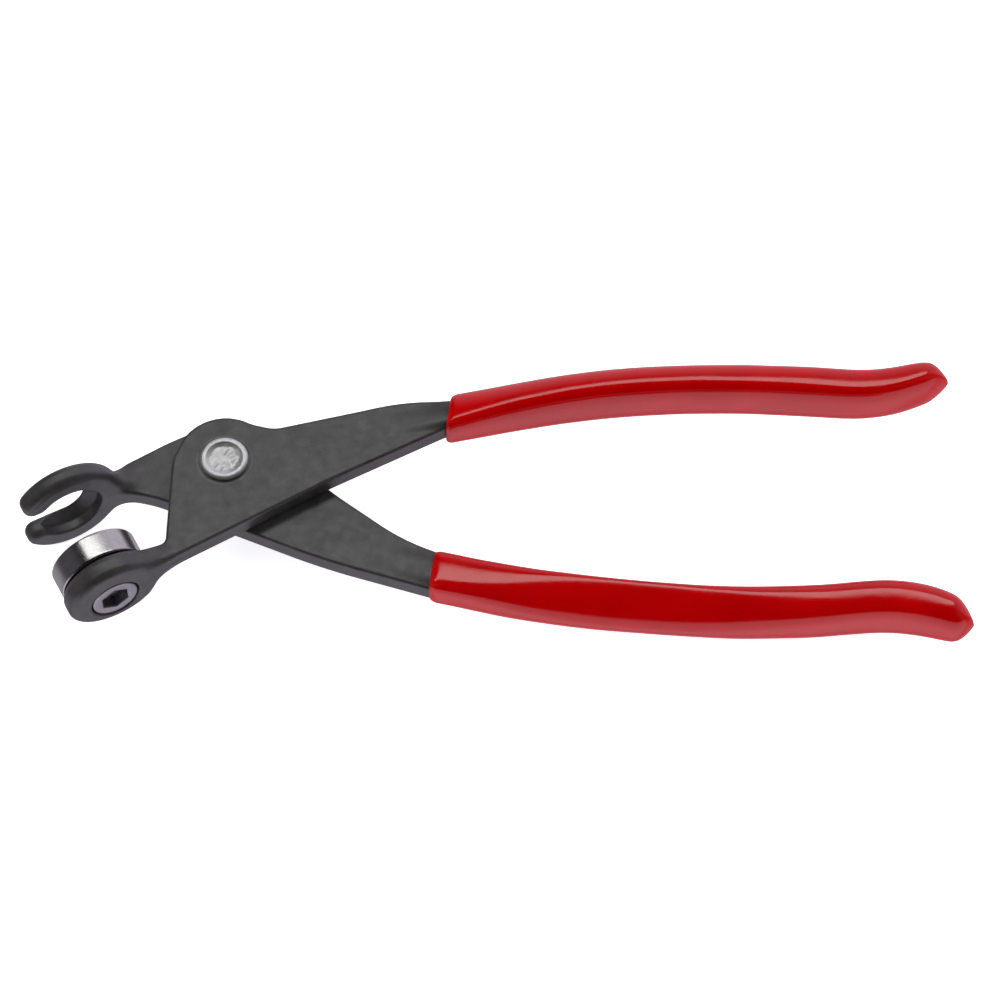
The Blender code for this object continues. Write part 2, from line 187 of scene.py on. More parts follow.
MOUTH_REACH = {"upper_grip": (0.5, 0.25), "lower_grip": (1.1, 0.3)}  # all round, and more at -Y
MOUTH_SPAN = 5.0
THINNEST = 0.02
CAD_SECTION_POINTS = 16
CAD_ROUNDNESS = 3.0
RING_POINTS = 96
RING_STEP = 1.0
CAMERA_DEG = 60
VIEW = (math.sin(math.radians(CAMERA_DEG)), math.cos(math.radians(CAMERA_DEG)))  # across and up
# Sleeve shapes along t: crest, outer exponent, inner exponent, shift to +Y
UPPER_SHAPE = [(0, 3.0, 2.4, 3.0, 0.0), (0.05, 2.8, 1.9, 3.0, 0.1), (0.1, 2.1, 1.9, 3.1, 0.2),
               (0.2, 1.8, 2.1, 3.1, 0.3), (0.5, 1.8, 2.2, 3.1, 0.35), (0.7, 1.9, 2.4, 3.0, 0.3),
               (0.83, 2.6, 3.6, 3.4, 0.2), (0.92, 3.4, 3.4, 3.0, 0.1), (1, 1.6, 2.2, 2.2, 0.1)]
LOWER_SHAPE = [(0, -1.3, 4.2, 4.4, 0.4), (0.06, -1.1, 4.0, 4.2, 0.5), (0.12, 0.4, 3.0, 3.6, 0.55),
               (0.18, 2.8, 2.3, 3.0, 0.55), (0.26, 4.2, 2.1, 2.7, 0.55), (0.4, 4.9, 2.1, 2.5, 0.55),
               (0.5, 3.9, 2.1, 2.5, 0.5), (0.6, 1.8, 2.3, 2.6, 0.5), (0.72, -0.3, 3.2, 2.9, 0.4),
               (0.82, -0.8, 4.4, 3.6, 0.3), (0.92, -1.0, 3.6, 3.1, 0.3), (1, -0.4, 2.2, 2.2, 0.3)]


# Meshes


def add_piece(name, mesh, node, smooth_angle=None):
    """Puts a finished mesh in the scene in place of its CAD node, on that node's body."""
    piece = bpy.data.objects.new(name, mesh)
    bpy.context.scene.collection.objects.link(piece)
    mesh.shade_smooth()
    if smooth_angle is not None:
        mesh.set_sharp_from_angle(angle=math.radians(smooth_angle))
    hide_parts(node)
    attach(piece, NODES[node]["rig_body"])
    return piece


def ring_mesh(name, rings, close_start=True, close_end=True, join_ends=False):
    """A mesh through rings of points in millimetres about the lap plane's pivot point."""
    count = len(rings[0])
    points = (np.concatenate(rings) + LAP) * MM
    faces = []
    pairs = list(zip(range(len(rings) - 1), range(1, len(rings))))
    if join_ends:
        pairs.append((len(rings) - 1, 0))
    for a, b in pairs:
        for i in range(count):
            j = (i + 1) % count
            faces.append((a * count + i, a * count + j, b * count + j, b * count + i))
    if close_start:
        faces.append(tuple(range(count)))
    if close_end:
        faces.append(tuple(reversed(range((len(rings) - 1) * count, len(rings) * count))))
    mesh = bpy.data.meshes.new(name)
    mesh.from_pydata(points.tolist(), [], faces)
    bm = bmesh.new()
    bm.from_mesh(mesh)
    bmesh.ops.recalc_face_normals(bm, faces=bm.faces)
    bm.to_mesh(mesh)
    bm.free()
    return mesh


# Outlines and fields. A field is the distance to a surface, negative inside the steel.


def arc(centre, radius, start, end, steps):
    """Points along an arc from one angle to another, in degrees."""
    turn = np.radians(np.linspace(start, end, steps + 1))
    return [(centre[0] + radius * math.cos(a), centre[1] + radius * math.sin(a)) for a in turn]


def rounded(corners, steps=16):
    """An open line through corners (x, y, radius), with each corner rounded by its radius."""
    points = [corners[0][:2]]
    for before, here, after in zip(corners, corners[1:], corners[2:]):
        corner, radius = Vector(here[:2]), here[2]
        to_before = (Vector(before[:2]) - corner).normalized()
        to_after = (Vector(after[:2]) - corner).normalized()
        half = to_before.angle(to_after) / 2
        centre = corner + (to_before + to_after).normalized() * radius / math.sin(half)
        run = radius / math.tan(half)
        first = corner + to_before * run - centre
        last = corner + to_after * run - centre
        start = math.degrees(math.atan2(first.y, first.x))
        turn = (math.degrees(math.atan2(last.y, last.x)) - start + 180) % 360 - 180
        points += arc(centre, radius, start, start + turn, steps)
    points.append(corners[-1][:2])
    return points


def outline_distance(outline, x, y):
    """Signed distance from points of the plane to a closed outline."""
    a = np.array(outline)
    b = np.roll(a, -1, axis=0)
    keep = np.hypot(*(b - a).T) > 1e-6
    a, b = a[keep], b[keep]
    edge = b - a
    length = (edge**2).sum(axis=1)
    rise = np.where(edge[:, 1] == 0, 1e-12, edge[:, 1])
    found = np.empty(len(x))
    for start in range(0, len(x), 20000):
        px, py = x[start : start + 20000, None], y[start : start + 20000, None]
        dx, dy = px - a[:, 0], py - a[:, 1]
        t = np.clip((dx * edge[:, 0] + dy * edge[:, 1]) / length, 0, 1)
        near = ((dx - t * edge[:, 0]) ** 2 + (dy - t * edge[:, 1]) ** 2).min(axis=1)
        crosses = (a[:, 1] > py) != (b[:, 1] > py)
        left = px < edge[:, 0] * dy / rise + a[:, 0]
        inside = (crosses & left).sum(axis=1) % 2 == 1
        found[start : start + 20000] = np.where(inside, -1, 1) * np.sqrt(near)
    return found


def plan_field(outline, step=0.25, margin=6.0):
    """The signed distance to a closed outline as a function, looked up on a fine grid."""
    low = np.min(outline, axis=0) - margin
    nx, ny = (np.ceil((np.max(outline, axis=0) + margin - low) / step)).astype(int) + 1
    xs, ys = low[0] + step * np.arange(nx), low[1] + step * np.arange(ny)
    grid_y, grid_x = np.meshgrid(ys, xs, indexing="ij")
    grid = outline_distance(outline, grid_x.ravel(), grid_y.ravel()).reshape(ny, nx)

    def at(x, y):
        u = np.clip((x - low[0]) / step, 0, nx - 1.001)
        v = np.clip((y - low[1]) / step, 0, ny - 1.001)
        i, j = u.astype(int), v.astype(int)
        u, v = u - i, v - j
        near = grid[j, i] * (1 - u) + grid[j, i + 1] * u
        return near * (1 - v) + (grid[j + 1, i] * (1 - u) + grid[j + 1, i + 1] * u) * v

    return at


def slab(plan, height, half, edge):
    """A plan distance given a thickness, with rounded edges."""
    a, b = plan + edge, np.abs(height) - half + edge
    return np.minimum(np.maximum(a, b), 0) + np.hypot(np.maximum(a, 0), np.maximum(b, 0)) - edge


def blend_union(a, b, width):
    """Fields a and b joined, with a soft blend between them."""
    h = np.maximum(width - np.abs(a - b), 0) / width
    return np.minimum(a, b) - h * h * width / 4


def blend_cut(a, b, width):
    """Field a with field b taken away, and the edge between them rounded."""
    return -blend_union(-a, b, width)


# Handle sections


def cad_points(node):
    """The points of a CAD node, in millimetres about the lap plane."""
    return np.array([v.co for v in NODES[node].data.vertices]) / MM - LAP


def stations(node):
    """Where the points of a CAD node lie along a handle."""
    points = cad_points(node)
    return points[:, 0] - LEAN * points[:, 1]


def cad_section(node, s):
    """Centre, half width and half depth of a CAD sleeve's outer skin at one station."""
    points = cad_points(node)
    place = stations(node) - s
    ends = np.array([e.vertices[:] for e in NODES[node].data.edges])
    a, b = ends[place[ends[:, 0]] * place[ends[:, 1]] < 0].T
    t = place[a] / (place[a] - place[b])
    cut = points[a] + (points[b] - points[a]) * t[:, None]
    low, high = cut.min(axis=0), cut.max(axis=0)
    corner = math.cos(math.pi / CAD_SECTION_POINTS) ** (2 / CAD_ROUNDNESS)
    _, width, depth = (high - low) / 2 / corner
    return (low[1] + high[1]) / 2, width, depth


def smoothed(rows, knots, fine):
    """Rows at knots, lightly averaged and read at fine stations along a smooth curve."""
    for _ in range(2):
        rows[1:-1] = (rows[:-2] + 2 * rows[1:-1] + rows[2:]) / 4
    slopes = np.gradient(rows, knots, axis=0)
    k = np.clip(np.searchsorted(knots, fine) - 1, 0, len(knots) - 2)
    span = (knots[k + 1] - knots[k])[:, None]
    t = (fine - knots[k])[:, None] / span
    return (
        (2 * t**3 - 3 * t**2 + 1) * rows[k]
        + (t**3 - 2 * t**2 + t) * slopes[k] * span
        + (3 * t**2 - 2 * t**3) * rows[k + 1]
        + (t**3 - t**2) * slopes[k + 1] * span
    )


def reach(width, depth, exponent):
    """How far a superellipse reaches in the direction of VIEW."""
    q = exponent / (exponent - 1)
    return ((width * VIEW[0]) ** q + (depth * VIEW[1]) ** q) ** (1 / q)


def measured_sleeve(node):
    """Stations along a CAD sleeve, with its centre, half width and half depth at each of them."""
    start, end = stations(node).min() + END_MARGIN, stations(node).max() - END_MARGIN
    knots = start + (end - start) * (1 - (1 - np.linspace(0, 1, 40)) ** 1.6)
    fine = start + (end - start) * (1 - (1 - np.linspace(0, 1, 500)) ** 1.5)
    measured = np.array([cad_section(node, s) for s in knots])
    return fine, smoothed(measured, knots, fine).T


def blunter(t, width, depth):
    """The reach towards VIEW, half width and half depth of a sleeve with a blunter tip."""
    target = reach(width, depth, CAD_ROUNDNESS)
    tip = np.searchsorted(t, TIP_FROM)
    target[tip:] = target[tip] * (target[tip:] / target[tip]) ** TIP_BLUNT
    depth[tip:] = depth[tip] * (depth[tip:] / depth[tip]) ** TIP_DEPTH
    depth = np.minimum(depth, DEEPEST * target / VIEW[1])
    q = CAD_ROUNDNESS / (CAD_ROUNDNESS - 1)
    width = (target**q - (depth * VIEW[1]) ** q) ** (1 / q) / VIEW[0]
    return target, width, depth


def sleeve_table(node, lever, shape):
    """A sleeve's finished section along its length.

    The shape gives rows (t, crest, outer exponent, inner exponent, shift) from the mouth, t = 0, to
    the tip, t = 1. The crest is the highest line, so far from the middle towards the other handle:
    the side that faces the other handle is flatter, and the outer side is rounder. Each section is
    scaled and shifted to keep the outline of the CAD section. The tip is made blunter and rounder,
    and it reaches out past the CAD's or stops short of it.
    """
    outer = 1 if node == "upper_grip" else -1
    fine, (centre, width, depth) = measured_sleeve(node)
    t = (fine - fine[0]) / (fine[-1] - fine[0])
    rows = np.array(shape)
    crest, outer_n, inner_n, lift = smoothed(rows[:, 1:].copy(), rows[:, 0], t).T
    target, width, depth = blunter(t, width, depth)
    crest = crest * np.minimum(1, width / width.max())
    outer_w, inner_w = width + crest, width - crest
    outer_reach = reach(outer_w, depth, outer_n) - crest * VIEW[0]
    inner_reach = reach(inner_w, depth, inner_n) + crest * VIEW[0]
    scale = 2 * target / (outer_reach + inner_reach)
    shift = outer * ((target - scale * outer_reach) / VIEW[0] - scale * crest)
    places = fine + TIP_REACH[node] * np.clip((t - TIP_FROM) / (1 - TIP_FROM), 0, 1) ** 2
    last = np.clip(1 - (places[-1] - places) / TIP_ROUND, 0, 0.995)
    scale = scale * np.sqrt(1 - last**2)
    halves = [(inner_w * scale, inner_n), (outer_w * scale, outer_n)]
    (low_w, low_n), (high_w, high_n) = halves if outer > 0 else halves[::-1]
    columns = (centre + shift + lift, depth * scale, low_w, high_w, low_n, high_n)
    ends = {"start": fine[0], "end": places[-1], "core": stations(lever).max()}
    return {"s": places, "columns": columns, **ends}


def section_at(table, s):
    """Crest y, half depth, the widths to -Y and +Y of the crest, and their exponents."""
    return [np.interp(s, table["s"], column) for column in table["columns"]]


# Levers


FRONT_PLAN = (
    rounded([(72.0, 19.8, 0), (50.0, 19.3, 60), (13.6, 10.6, 9), (7.0, 12.2, 0)])
    + arc((0, 0.5), BOSS_R, 60, 150, 48)
    + rounded([(-13.0, 4.6, 0), (-14.7, 0.6, 12), (-15.6, -26.2, 2.5), (-25.0, -31.2, 0)])
    + rounded([(-22.0, -35.2, 0), (-14.0, -31.6, 25), (30.0, -6.2, 90), (72.0, 15.6, 0)])
)
REAR_PLAN = (
    rounded([(-31.0, -1.6, 0), (-28.0, 2.4, 8), (-16.0, 9.9, 60), (-8.0, 13.4, 0)])
    + arc((0, 0), BOSS_R + 0.6, 112, 28, 48)
    + rounded([(15.5, 6.0, 0), (32.0, -8.3, 60), (50.0, -22.0, 60), (66.0, -28.6, 0)])
    + rounded([(66.0, -40.6, 0), (28.0, -28.8, 200), (-20.0, -8.4, 40), (-31.0, -6.4, 0)])
)
# The bars' roots in the plates: station, crest, half depth, widths to -Y and +Y, exponents
UPPER_ROOT = [(46.0, 11.6, 2.4, 3.6, 3.6, 3.0, 3.0), (54.0, 13.6, 2.6, 4.2, 4.2, 3.0, 3.0)]
LOWER_ROOT = [(44.0, -26.4, 2.4, 4.2, 4.2, 3.0, 3.0), (53.0, -29.9, 2.6, 4.8, 4.8, 3.0, 3.0)]


def fork_outline():
    """The open C: a circle with a slot between two rounded tips."""
    half = FORK_SLOT / 2
    tip_y = half + FORK_TIP
    tip_x = -math.sqrt((FORK_R - FORK_TIP) ** 2 - tip_y**2)
    tip_deg = math.degrees(math.atan2(tip_y, tip_x))
    outer = arc((0, 0), FORK_R, -tip_deg, tip_deg, 160)
    upper_tip = arc((tip_x, tip_y), FORK_TIP, tip_deg, 270, 24)
    inner = arc((0, 0), half, 90, -90, 48)
    lower_tip = [(x, -y) for x, y in reversed(upper_tip)]
    return outer + upper_tip[1:] + inner + lower_tip[:-1]


def core_field(root, table, height):
    """The steel bar inside a sleeve, rising out of the lever's plate."""
    steel = SLEEVE + CORE_GAP
    end = table["core"]
    inside = np.linspace(table["start"], end, 120)
    crest, depth, low_w, high_w, low_n, high_n = section_at(table, inside)
    bar = np.stack((crest, depth - steel, low_w - steel, high_w - steel, low_n, high_n), 1)
    fine = np.linspace(root[0][0], end, 600)
    knots = np.concatenate(([row[0] for row in root], inside[::8], inside[-1:]))
    rows = np.concatenate(([row[1:] for row in root], bar[::8], bar[-1:]))
    columns = smoothed(rows, knots, fine).T

    def at(x, y, z):
        place = x - LEAN * y
        crest, depth, low_w, high_w, low_n, high_n = (np.interp(place, fine, c) for c in columns)
        width = np.where(y < crest, low_w, high_w)
        n = np.where(y < crest, low_n, high_n)
        u, v = np.abs((y - crest) / width), np.abs((z - height) / depth)
        body = ((u**n + v**n) ** (1 / n) - 1) * np.minimum(width, depth)
        return np.maximum(np.maximum(body, root[0][0] - place), place - end)

    return at


def along(points, centre, run, axis):
    """Coordinates of points along a jaw's run, its height and its axis."""
    offset = points - centre
    return offset @ run, offset[:, 2], offset @ axis


def neck_strip(run, height, neck):
    """The strip of plate behind a jaw; it gets thinner as it runs on into the lever."""
    low, high = neck["span"]
    past = np.maximum(run - neck["fade_from"], 0)
    thick = np.abs(height) - PLATE / 2 + neck["inset"] + neck["sink"] * past
    return np.maximum(thick, np.abs(run - (low + high) / 2) - (high - low) / 2)


def plate_field(plan, core, points, height, table):
    """A lever's plate at a height, with the steel core of its handle."""
    x, y, z = points.T
    end = table["start"] + PLATE_IN_SLEEVE
    plate = np.maximum(slab(plan(x, y), z - height, PLATE / 2, EDGE), x - LEAN * y - end)
    return blend_union(plate, core(x, y, z), CORE_BLEND)


def front_field(table):
    """The front lever: plate, upper core, and the lug with its counterbore."""
    plan = plan_field(FRONT_PLAN)
    core = core_field(UPPER_ROOT, table, MID)
    run = np.array((DISC_AXIS[1], -DISC_AXIS[0], 0.0))

    def at(points):
        lever = plate_field(plan, core, points, MID, table)
        u, h, d = along(points, DISC_CENTRE, run, DISC_AXIS)
        squash = np.where(h < 0, LUG_R / LUG_LOW, 1.0)
        lug = np.hypot(u, h * squash) - LUG_R
        web = blend_union(lug, neck_strip(u, h - MID, LUG_NECK), LUG_WEB)
        half = LUG_T / 2 - LUG_TAPER * np.maximum(u - LUG_NECK["fade_from"], 0)
        jaw = slab(web, d - (LUG_INNER + LUG_OUTER) / 2, half, LUG_EDGE)
        lever = blend_union(lever, jaw, LUG_BLEND)
        radius = np.hypot(u, h)
        bore = np.maximum(radius - COUNTERBORE_R, d - SCREW_SEAT - SEAT_GAP)
        lever = blend_cut(lever, bore, COUNTERBORE_EDGE)
        lever = blend_cut(lever, radius - BORE_R, SCREW_HOLE_EDGE)
        return blend_cut(lever, np.hypot(points[:, 0], points[:, 1]) - BORE_R, BORE_EDGE)

    return at


def rear_field(table):
    """The rear lever: plate, lower core, and the fork with the seat in its inner side."""
    plan = plan_field(REAR_PLAN)
    fork_plan = plan_field(fork_outline())
    core = core_field(LOWER_ROOT, table, -MID)
    turn = math.radians(FORK_DEG)
    run = np.array((math.cos(turn), math.sin(turn), 0.0))
    axis = np.array((math.sin(turn), -math.cos(turn), 0.0))
    slope = (SEAT_R - SEAT_BACK_R) / (FORK_T / 2)

    def at(points):
        lever = plate_field(plan, core, points, -MID, table)
        u, h, d = along(points, FORK_CENTRE, run, axis)
        web = blend_union(fork_plan(u, h), neck_strip(u, h + MID, FORK_NECK), FORK_WEB)
        lever = blend_union(lever, slab(web, d, FORK_T / 2, FORK_EDGE), FORK_BLEND)
        seat = np.hypot(u, h) - SEAT_R - np.where(d < 0, slope * d, 0)
        seat = np.where(d < 0, seat / math.hypot(1, slope), seat)
        seat = np.maximum(seat, np.abs(d) - FORK_T)
        lever = blend_cut(lever, seat, SEAT_EDGE)
        return blend_cut(lever, np.hypot(points[:, 0], points[:, 1]) - BORE_R, BORE_EDGE)

    return at


def remeshed(node):
    """Points and quads of a CAD node's voxel remesh, in millimetres about the lap plane."""
    mesh = NODES[node].data.copy()
    bm = bmesh.new()
    bm.from_mesh(mesh)
    bmesh.ops.remove_doubles(bm, verts=bm.verts, dist=0.002 * MM)
    bm.to_mesh(mesh)
    bm.free()
    source = bpy.data.objects.new(node + "_source", mesh)
    bpy.context.scene.collection.objects.link(source)
    change = source.modifiers.new("Voxels", "REMESH")
    change.mode = "VOXEL"
    change.voxel_size = VOXEL * MM
    change.adaptivity = 0.0
    bpy.context.view_layer.update()
    graph = bpy.context.evaluated_depsgraph_get()
    made = bpy.data.meshes.new_from_object(source.evaluated_get(graph))
    points = np.array([v.co for v in made.vertices]) / MM - LAP
    quads = np.array([p.vertices[:] for p in made.polygons])
    bpy.data.objects.remove(source, do_unlink=True)
    bpy.data.meshes.remove(made)
    return largest_part(points, quads)


def largest_part(points, quads):
    """Leaves out the small closed bubbles that a voxel remesh can make."""
    label = np.arange(len(points))
    while True:
        lowest = label.copy()
        np.minimum.at(lowest, quads.ravel(), np.repeat(label[quads].min(axis=1), 4))
        lowest = lowest[lowest]
        if (lowest == label).all():
            break
        label = lowest
    keep = label == np.bincount(label).argmax()
    number = np.cumsum(keep) - 1
    return points[keep], number[quads[keep[quads[:, 0]]]]


def settle(points, quads, field):
    """Moves a mesh onto a field's surface, with its points spread evenly over it."""
    count = len(points)
    edges = np.concatenate([quads[:, [i, (i + 1) % 4]] for i in range(4)])
    both = np.concatenate((edges, edges[:, ::-1]))
    degree = np.bincount(both[:, 0], minlength=count)[:, None]
    for step in range(SETTLE_ROUNDS):
        value = field(points)
        slope = np.stack([(field(points + NUDGE * axis) - value) / NUDGE for axis in np.eye(3)], 1)
        steep = np.maximum((slope**2).sum(axis=1), LEAST_SLOPE)
        move = np.clip(value, -LONGEST_STEP, LONGEST_STEP) / steep
        points = points - slope * move[:, None]
        if step < SMOOTH_ROUNDS:
            ends = points[both[:, 1]]
            mean = [np.bincount(both[:, 0], ends[:, k], count) for k in range(3)]
            drift = np.stack(mean, 1) / degree - points
            drift -= slope * ((drift * slope).sum(axis=1) / steep)[:, None]
            points = points + EVENING * drift
    return points


def build_lever(node, table, make_field):
    """A lever as a smooth forging in the place of its CAD node."""
    points, quads = remeshed(node)
    points = settle(points, quads, make_field(table))
    mesh = bpy.data.meshes.new(node + "_forging")
    mesh.from_pydata(((points + LAP) * MM).tolist(), [], quads.tolist())
    return add_piece(node + "_forging", mesh, node)


# Sleeves


def sleeve_ring(node, table, height, s, shrink, wave=0.0):
    """A ring of points round a sleeve, so far inside its outer skin, at one station."""
    forward, sideways = MOUTH_REACH[node]
    turn = 2 * math.pi * (np.arange(RING_POINTS) + 0.5) / RING_POINTS
    cosine, sine = np.cos(turn), np.sin(turn)
    crest, depth, low_w, high_w, low_n, high_n = section_at(table, s)
    width = np.where(cosine < 0, low_w, high_w)
    power = 2 / np.where(cosine < 0, low_n, high_n)
    across = np.sign(cosine) * np.abs(cosine) ** power
    up = np.sign(sine) * np.abs(sine) ** power
    y = crest + across * np.maximum(width - shrink, THINNEST)
    z = height + up * max(depth - shrink, THINNEST)
    mouth = (forward - sideways * across) * math.exp((table["start"] - s) / MOUTH_SPAN)
    points = np.stack((s + LEAN * y - mouth, y, z), 1)
    for point, c, u in zip(points, across, up):
        swell = wave * noise.noise(Vector(point) / WAVE_SPAN)
        point[1:] += swell * c, swell * u
    return points


def build_sleeve(node, table, height):
    """A dipped sleeve: inner skin round the steel, rolled lip at the mouth, outer skin and tip."""
    start, tip = table["start"], table["end"] - TIP_SPAN

    def ring(s, shrink, wave=0.0):
        return sleeve_ring(node, table, height, s, shrink, wave)

    inner = np.linspace(table["core"] + CORE_GAP, start + GRIP_LENGTH + 1.0, 50)
    rings = [ring(s, SLEEVE) for s in inner]
    rings += [ring(s, STEEL_SKIN) for s in np.linspace(start + GRIP_LENGTH, start + LIP_IN, 8)]
    for angle in np.linspace(0, math.pi / 2, 6)[1:]:
        out = LIP_IN * (1 - math.cos(angle))
        rings.append(ring(start + LIP_IN * (1 - math.sin(angle)), STEEL_SKIN - out))
    for angle in np.linspace(math.pi / 2, 0, 11)[:-1]:
        out = LIP_DROP * (1 - math.cos(angle))
        rings.append(ring(start + LIP_OUT * (1 - math.sin(angle)), out, WAVE))
    rings += [ring(s, 0.0, WAVE) for s in np.arange(start + LIP_OUT, tip, RING_STEP)]
    for s in tip + TIP_SPAN * np.sin(np.linspace(0, math.pi / 2, 29)):
        rings.append(ring(s, 0.0, WAVE))
    last = rings[-1]
    middle = last.mean(axis=0)
    for shrink in (0.6, 0.2):
        rings.append(middle + (last - middle) * shrink)
    return add_piece(node + "_sleeve", ring_mesh(node + "_sleeve", rings), node)


# Turned pieces


TURN_POINTS = 144
TURN = 2 * math.pi * np.arange(TURN_POINTS) / TURN_POINTS
QUARTER = math.pi / 2
X, Y, Z = np.eye(3)
PIVOT_PLACE = (np.zeros(3), X, Y, Z)
JAW_PLACE = (DISC_CENTRE, np.array((-DISC_AXIS[1], DISC_AXIS[0], 0.0)), Z, DISC_AXIS)


def turned_piece(node, profile, place, count=TURN_POINTS, smooth_angle=32, **closing):
    """A piece from rings (radius, height), each a number or an array of one value per point.

    The place is an origin, the two directions across and the direction of the heights.
    """
    origin, side, up, axis = place
    turn = 2 * math.pi * np.arange(count) / count
    circle = np.cos(turn)[:, None] * side + np.sin(turn)[:, None] * up
    rings = []
    for radius, height in profile:
        radius = np.broadcast_to(np.asarray(radius, float), count)
        height = np.broadcast_to(np.asarray(height, float), count)
        rings.append(origin + circle * radius[:, None] + axis * np.reshape(height, (-1, 1)))
    name = node + "_fine"
    return add_piece(name, ring_mesh(name, rings, **closing), node, smooth_angle)


def rounded_rim(radius, height, edge):
    """Points (radius, height) round an outer edge, from the end face to the side."""
    angles = np.linspace(0, QUARTER, 7)
    return [
        (radius - edge + edge * math.sin(a), height - edge + edge * math.cos(a)) for a in angles
    ]


def hexagon(flats):
    """The radius of a hexagon in each direction of TURN."""
    off = (TURN + math.pi / 6) % (math.pi / 3) - math.pi / 6
    return flats / 2 / np.cos(off)


def worn_floor(t):
    """The unevenness of the recess's floor, round a ring at a part t of its radius."""
    steps = [(2.6 * t * math.cos(a), 2.6 * t * math.sin(a), 4.2) for a in TURN]
    worn = np.array([RECESS_WEAR * noise.noise(Vector(step)) for step in steps])
    return 0.12 * (1 - t * t) + worn * min(1, 3 * t)


def recess_profile(top):
    """The worn six-lobed recess in the bolt's head, from its middle out to the rim."""
    floor = top - RECESS_DEPTH
    brim = RECESS_R + 0.05
    lobes = LOBES_R + 0.17 * np.cos(6 * TURN) + 0.1 * np.cos(3 * TURN + 1.0)
    profile = []
    for t in (0.01, 0.15, 0.3, 0.45, 0.6, 0.72, 0.84, 0.94):
        profile.append((lobes * t, floor + worn_floor(t)))
    for t in np.linspace(0, 1, 8):
        profile.append((lobes + (brim - lobes) * t, floor + 0.1 + (top - 0.45 - floor) * t**1.3))
    for a in np.linspace(0.15, 1.0, 8) * QUARTER:
        profile.append((brim + 0.4 - 0.4 * math.cos(a), top - 0.35 + 0.35 * math.sin(a)))
    return profile


def build_bolt():
    """The pivot: a raised round rim, a worn recess and a threaded end."""
    under = MID + PLATE / 2 + HEAD_LIFT
    top = under + HEAD_H
    profile = recess_profile(top)
    for a in np.linspace(0.0, 1.0, 9) * QUARTER:
        profile.append((HEAD_R - 0.75 + 0.75 * math.sin(a), top - 0.65 + 0.65 * math.cos(a)))
    profile += [(HEAD_R, under + 0.25), (HEAD_R - 0.2, under), (BOLT_R + 0.1, under)]
    thread_top = BOLT_LOW + BOLT_END + NUT_H
    profile += [(BOLT_R, under - 0.1), (BOLT_R, thread_top + 0.3)]
    for z in np.arange(thread_top, BOLT_LOW + 0.55, -THREAD_PITCH / 10):
        phase = (z / THREAD_PITCH + TURN / (2 * math.pi)) % 1.0
        profile.append((BOLT_R - THREAD_DEPTH * np.abs(2 * phase - 1) ** 1.3, z))
    profile += [(BOLT_R - 0.5, BOLT_LOW + 0.25), (BOLT_R - 0.8, BOLT_LOW), (0.05, BOLT_LOW)]
    return turned_piece("pivot_bolt", profile, PIVOT_PLACE)


def build_nut():
    """A chamfered hexagon nut on the back."""
    low = BOLT_LOW + BOLT_END
    high = low + NUT_H
    bore = BORE_R + 0.02
    mouth = bore + 0.5
    corner = hexagon(NUT_FLATS)
    chamfer = math.tan(math.radians(28))

    def face(t, height, way):
        """A ring of an end face, at a part t of the way out, that falls away at the corners."""
        radius = mouth + (corner - mouth) * t
        return radius, height - way * np.maximum(radius - NUT_FLATS / 2 + 0.1, 0) * chamfer

    parts = (0.3, 0.6, 0.8, 0.9, 0.96, 1.0)
    profile = [(bore, low + 0.5), (bore, high - 0.5), (mouth, high)]
    profile += [face(t, high, 1) for t in parts]
    profile += [face(t, low, -1) for t in reversed(parts)]
    profile += [(mouth, low)]
    closing = {"close_start": False, "close_end": False, "join_ends": True}
    return turned_piece("pivot_nut", profile, PIVOT_PLACE, smooth_angle=25, **closing)


def build_disc():
    """The press disc: ground faces, rounded edges and a blind hole for its screw."""
    hole = SCREW_BITE + SEAT_GAP - DISC_T
    face = DISC_R - DISC_EDGE - 0.4
    profile = [(0.05, hole), (BORE_R, hole), (BORE_R, -DISC_T + 0.4), (BORE_R + 0.4, -DISC_T)]
    profile += [(r, -DISC_T) for r in np.linspace(BORE_R + 1.5, face, 6)]
    profile += [(r, -DISC_T - h) for r, h in rounded_rim(DISC_R, 0.0, DISC_EDGE)]
    profile += [(DISC_R, h) for h in np.linspace(-DISC_T + DISC_EDGE, -DISC_EDGE, 14)[1:-1]]
    profile += [(r, h) for r, h in reversed(rounded_rim(DISC_R, 0.0, DISC_EDGE))]
    profile += [(r, 0.0) for r in np.linspace(face, 0.05, 10)]
    return turned_piece("press_disc", profile, JAW_PLACE, count=192)


def build_screw():
    """The socket-head screw that holds the disc; its head faces away from the disc."""
    socket = hexagon(SOCKET_FLATS)
    head = LUG_OUTER + SCREW_SINK
    floor = head + SOCKET_DEPTH
    tip = -DISC_T + SCREW_BITE
    rim = SOCKET_FLATS / math.sqrt(3) + 0.6
    profile = [(socket * 0.02, floor + 0.6), (socket * 0.5, floor + 0.25), (socket * 0.94, floor)]
    profile += [(socket, floor - 0.06), (socket, head + 0.45), (socket + 0.03, head + 0.3)]
    profile += [(socket + 0.3, head + 0.06), (rim, head)]
    profile += [(r, head) for r in np.linspace(rim + 0.25, SCREW_HEAD_R - 0.8, 5)]
    for a in np.linspace(0.0, 1.0, 8) * QUARTER:
        profile.append((SCREW_HEAD_R - 0.6 + 0.6 * math.sin(a), head + 0.6 - 0.6 * math.cos(a)))
    profile += [(SCREW_HEAD_R, SCREW_SEAT), (BOLT_R, SCREW_SEAT)]
    profile += [(BOLT_R, tip - 0.5), (BOLT_R - 0.5, tip), (0.05, tip)]
    return turned_piece("disc_screw", profile, JAW_PLACE)


# Materials


